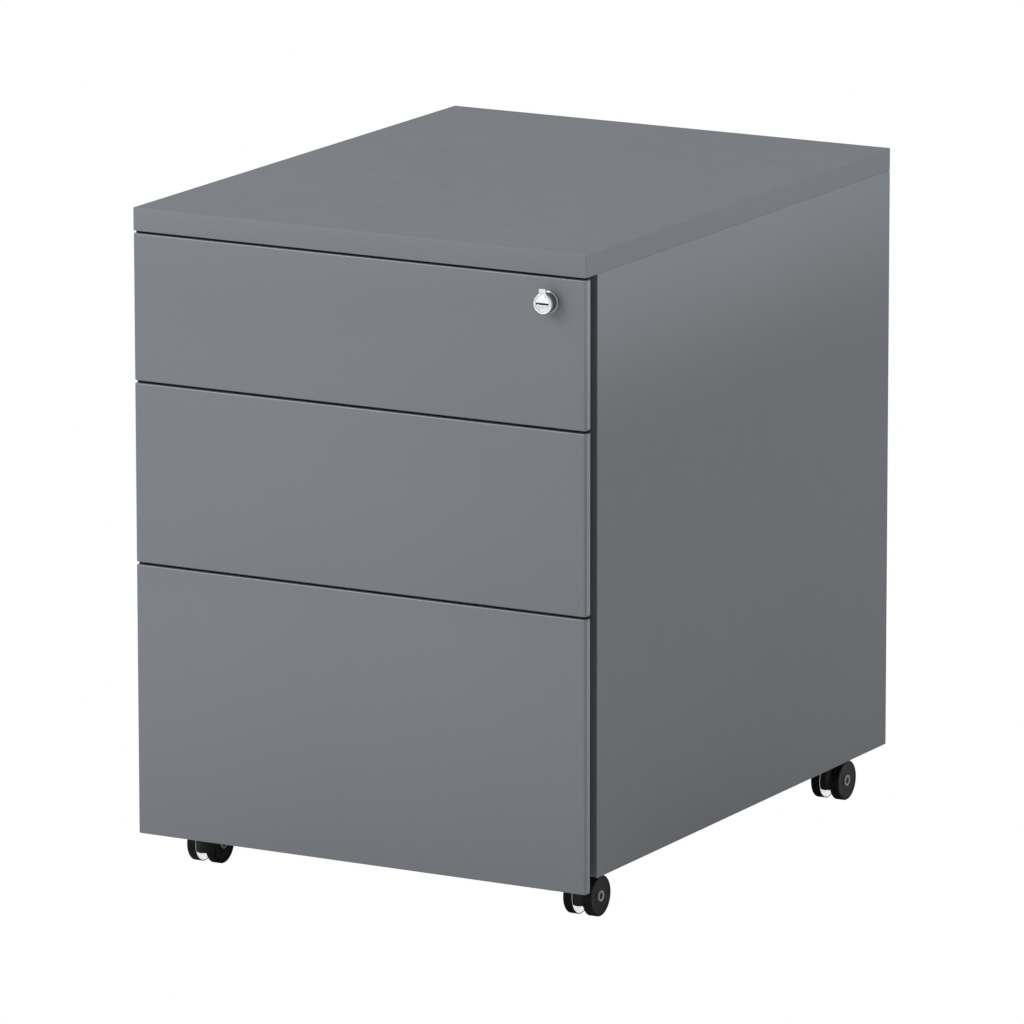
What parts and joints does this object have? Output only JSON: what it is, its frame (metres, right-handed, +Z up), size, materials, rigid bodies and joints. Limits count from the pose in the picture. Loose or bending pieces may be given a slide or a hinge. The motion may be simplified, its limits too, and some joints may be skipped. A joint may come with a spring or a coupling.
{
  "type": "rolling pedestal cabinet",
  "caption": "Steel under-desk pedestal cabinet on twin-wheel casters, with full-width drawers, finger-grip edges, telescopic slides and a cylinder lock.",
  "frame": {"origin": "on the floor under the middle of the whole cabinet, lock cylinder included", "axes": "+X to the user's right, +Y to the back, +Z up"},
  "size_m": [0.42, 0.546, 0.559],
  "materials": {
    "silver_board": "satin melamine, silver grey, on a 19 mm board",
    "silver_paint": "satin silver-grey powder coat",
    "dark_paint": "satin black powder coat",
    "zinc_steel": "bright zinc plate",
    "chrome": "polished",
    "black_plastic": "satin moulded"
  },
  "bodies": {
    "root": {"top_panel": "silver_board", "left_side_wall": "silver_paint", "right_side_wall": "silver_paint", "back_panel": "silver_paint", "base_panel": "silver_paint", "upper_rail": "dark_paint", "middle_rail": "dark_paint", "lower_rail": "dark_paint", "body_screws": "zinc_steel", "caster_stems": "zinc_steel", "bar_guides": "black_plastic", "upper_left_outer_slide": "zinc_steel", "upper_right_outer_slide": "zinc_steel", "middle_left_outer_slide": "zinc_steel", "middle_right_outer_slide": "zinc_steel", "lower_left_outer_slide": "zinc_steel", "lower_right_outer_slide": "zinc_steel"},
    "upper_drawer": {"upper_drawer_front": "silver_paint", "upper_front_liner": "silver_paint", "upper_drawer_box": "dark_paint", "upper_left_inner_slide": "zinc_steel", "upper_right_inner_slide": "zinc_steel", "lock_housing": "chrome", "lock_nut": "zinc_steel"},
    "upper_slides": {"upper_left_mid_slide": "zinc_steel", "upper_right_mid_slide": "zinc_steel"},
    "middle_drawer": {"middle_drawer_front": "silver_paint", "middle_front_liner": "silver_paint", "middle_drawer_box": "dark_paint", "middle_left_inner_slide": "zinc_steel", "middle_right_inner_slide": "zinc_steel"},
    "middle_slides": {"middle_left_mid_slide": "zinc_steel", "middle_right_mid_slide": "zinc_steel"},
    "lower_drawer": {"lower_drawer_front": "silver_paint", "lower_front_liner": "silver_paint", "lower_drawer_box": "dark_paint", "lower_left_inner_slide": "zinc_steel", "lower_right_inner_slide": "zinc_steel"},
    "lower_slides": {"lower_left_mid_slide": "zinc_steel", "lower_right_mid_slide": "zinc_steel"},
    "lock_cam": {"lock_plug": "chrome", "lock_rod": "zinc_steel"},
    "locking_bar": {"lock_bar": "zinc_steel"},
    "front_left_caster": {"front_left_hood": "black_plastic", "front_left_axle": "zinc_steel"},
    "front_left_outer_wheel": {"front_left_outer_wheel": "black_plastic"},
    "front_left_inner_wheel": {"front_left_inner_wheel": "black_plastic"},
    "front_right_caster": {"front_right_hood": "black_plastic", "front_right_axle": "zinc_steel"},
    "front_right_outer_wheel": {"front_right_outer_wheel": "black_plastic"},
    "front_right_inner_wheel": {"front_right_inner_wheel": "black_plastic"},
    "rear_left_caster": {"rear_left_hood": "black_plastic", "rear_left_axle": "zinc_steel"},
    "rear_left_outer_wheel": {"rear_left_outer_wheel": "black_plastic"},
    "rear_left_inner_wheel": {"rear_left_inner_wheel": "black_plastic"},
    "rear_right_caster": {"rear_right_hood": "black_plastic", "rear_right_axle": "zinc_steel"},
    "rear_right_outer_wheel": {"rear_right_outer_wheel": "black_plastic"},
    "rear_right_inner_wheel": {"rear_right_inner_wheel": "black_plastic"}
  },
  "joints": [
    {"name": "upper_drawer_slide", "type": "slide", "parent": "root", "child": "upper_drawer", "axis": [0, -1, 0], "range_m": [0, 0.4]},
    {"name": "upper_mid_slide", "type": "slide", "parent": "root", "child": "upper_slides", "axis": [0, -1, 0], "range_m": [0, 0.2]},
    {"name": "middle_drawer_slide", "type": "slide", "parent": "root", "child": "middle_drawer", "axis": [0, -1, 0], "range_m": [0, 0.4]},
    {"name": "middle_mid_slide", "type": "slide", "parent": "root", "child": "middle_slides", "axis": [0, -1, 0], "range_m": [0, 0.2]},
    {"name": "lower_drawer_slide", "type": "slide", "parent": "root", "child": "lower_drawer", "axis": [0, -1, 0], "range_m": [0, 0.4]},
    {"name": "lower_mid_slide", "type": "slide", "parent": "root", "child": "lower_slides", "axis": [0, -1, 0], "range_m": [0, 0.2]},
    {"name": "lock_turn", "type": "hinge", "parent": "upper_drawer", "child": "lock_cam", "pos_m": [0.1765, -0.262, 0.518], "axis": [0, 1, 0], "range_deg": [0, 90]},
    {"name": "bar_lift", "type": "slide", "parent": "root", "child": "locking_bar", "axis": [0, 0, 1], "range_m": [0, 0.0085]},
    {"name": "front_left_swivel", "type": "hinge", "parent": "root", "child": "front_left_caster", "pos_m": [-0.1776, -0.2136, 0.03], "axis": [0, 0, 1], "continuous": true},
    {"name": "front_left_outer_roll", "type": "hinge", "parent": "front_left_caster", "child": "front_left_outer_wheel", "pos_m": [-0.1776, -0.2001, 0.017], "axis": [1, 0, 0], "continuous": true},
    {"name": "front_left_inner_roll", "type": "hinge", "parent": "front_left_caster", "child": "front_left_inner_wheel", "pos_m": [-0.1776, -0.2001, 0.017], "axis": [1, 0, 0], "continuous": true},
    {"name": "front_right_swivel", "type": "hinge", "parent": "root", "child": "front_right_caster", "pos_m": [0.1776, -0.2136, 0.03], "axis": [0, 0, 1], "continuous": true},
    {"name": "front_right_outer_roll", "type": "hinge", "parent": "front_right_caster", "child": "front_right_outer_wheel", "pos_m": [0.1776, -0.2001, 0.017], "axis": [1, 0, 0], "continuous": true},
    {"name": "front_right_inner_roll", "type": "hinge", "parent": "front_right_caster", "child": "front_right_inner_wheel", "pos_m": [0.1776, -0.2001, 0.017], "axis": [1, 0, 0], "continuous": true},
    {"name": "rear_left_swivel", "type": "hinge", "parent": "root", "child": "rear_left_caster", "pos_m": [-0.1776, 0.2246, 0.03], "axis": [0, 0, 1], "continuous": true},
    {"name": "rear_left_outer_roll", "type": "hinge", "parent": "rear_left_caster", "child": "rear_left_outer_wheel", "pos_m": [-0.1776, 0.2381, 0.017], "axis": [1, 0, 0], "continuous": true},
    {"name": "rear_left_inner_roll", "type": "hinge", "parent": "rear_left_caster", "child": "rear_left_inner_wheel", "pos_m": [-0.1776, 0.2381, 0.017], "axis": [1, 0, 0], "continuous": true},
    {"name": "rear_right_swivel", "type": "hinge", "parent": "root", "child": "rear_right_caster", "pos_m": [0.1776, 0.2246, 0.03], "axis": [0, 0, 1], "continuous": true},
    {"name": "rear_right_outer_roll", "type": "hinge", "parent": "rear_right_caster", "child": "rear_right_outer_wheel", "pos_m": [0.1776, 0.2381, 0.017], "axis": [1, 0, 0], "continuous": true},
    {"name": "rear_right_inner_roll", "type": "hinge", "parent": "rear_right_caster", "child": "rear_right_inner_wheel", "pos_m": [0.1776, 0.2381, 0.017], "axis": [1, 0, 0], "continuous": true}
  ],
  "couplings": [
    {"joint": "upper_mid_slide", "follows": "upper_drawer_slide", "ratio": 0.5},
    {"joint": "middle_mid_slide", "follows": "middle_drawer_slide", "ratio": 0.5},
    {"joint": "lower_mid_slide", "follows": "lower_drawer_slide", "ratio": 0.5},
    {"joint": "lock_turn", "follows": "bar_lift", "rad_per_m": 184.8}
  ]
}
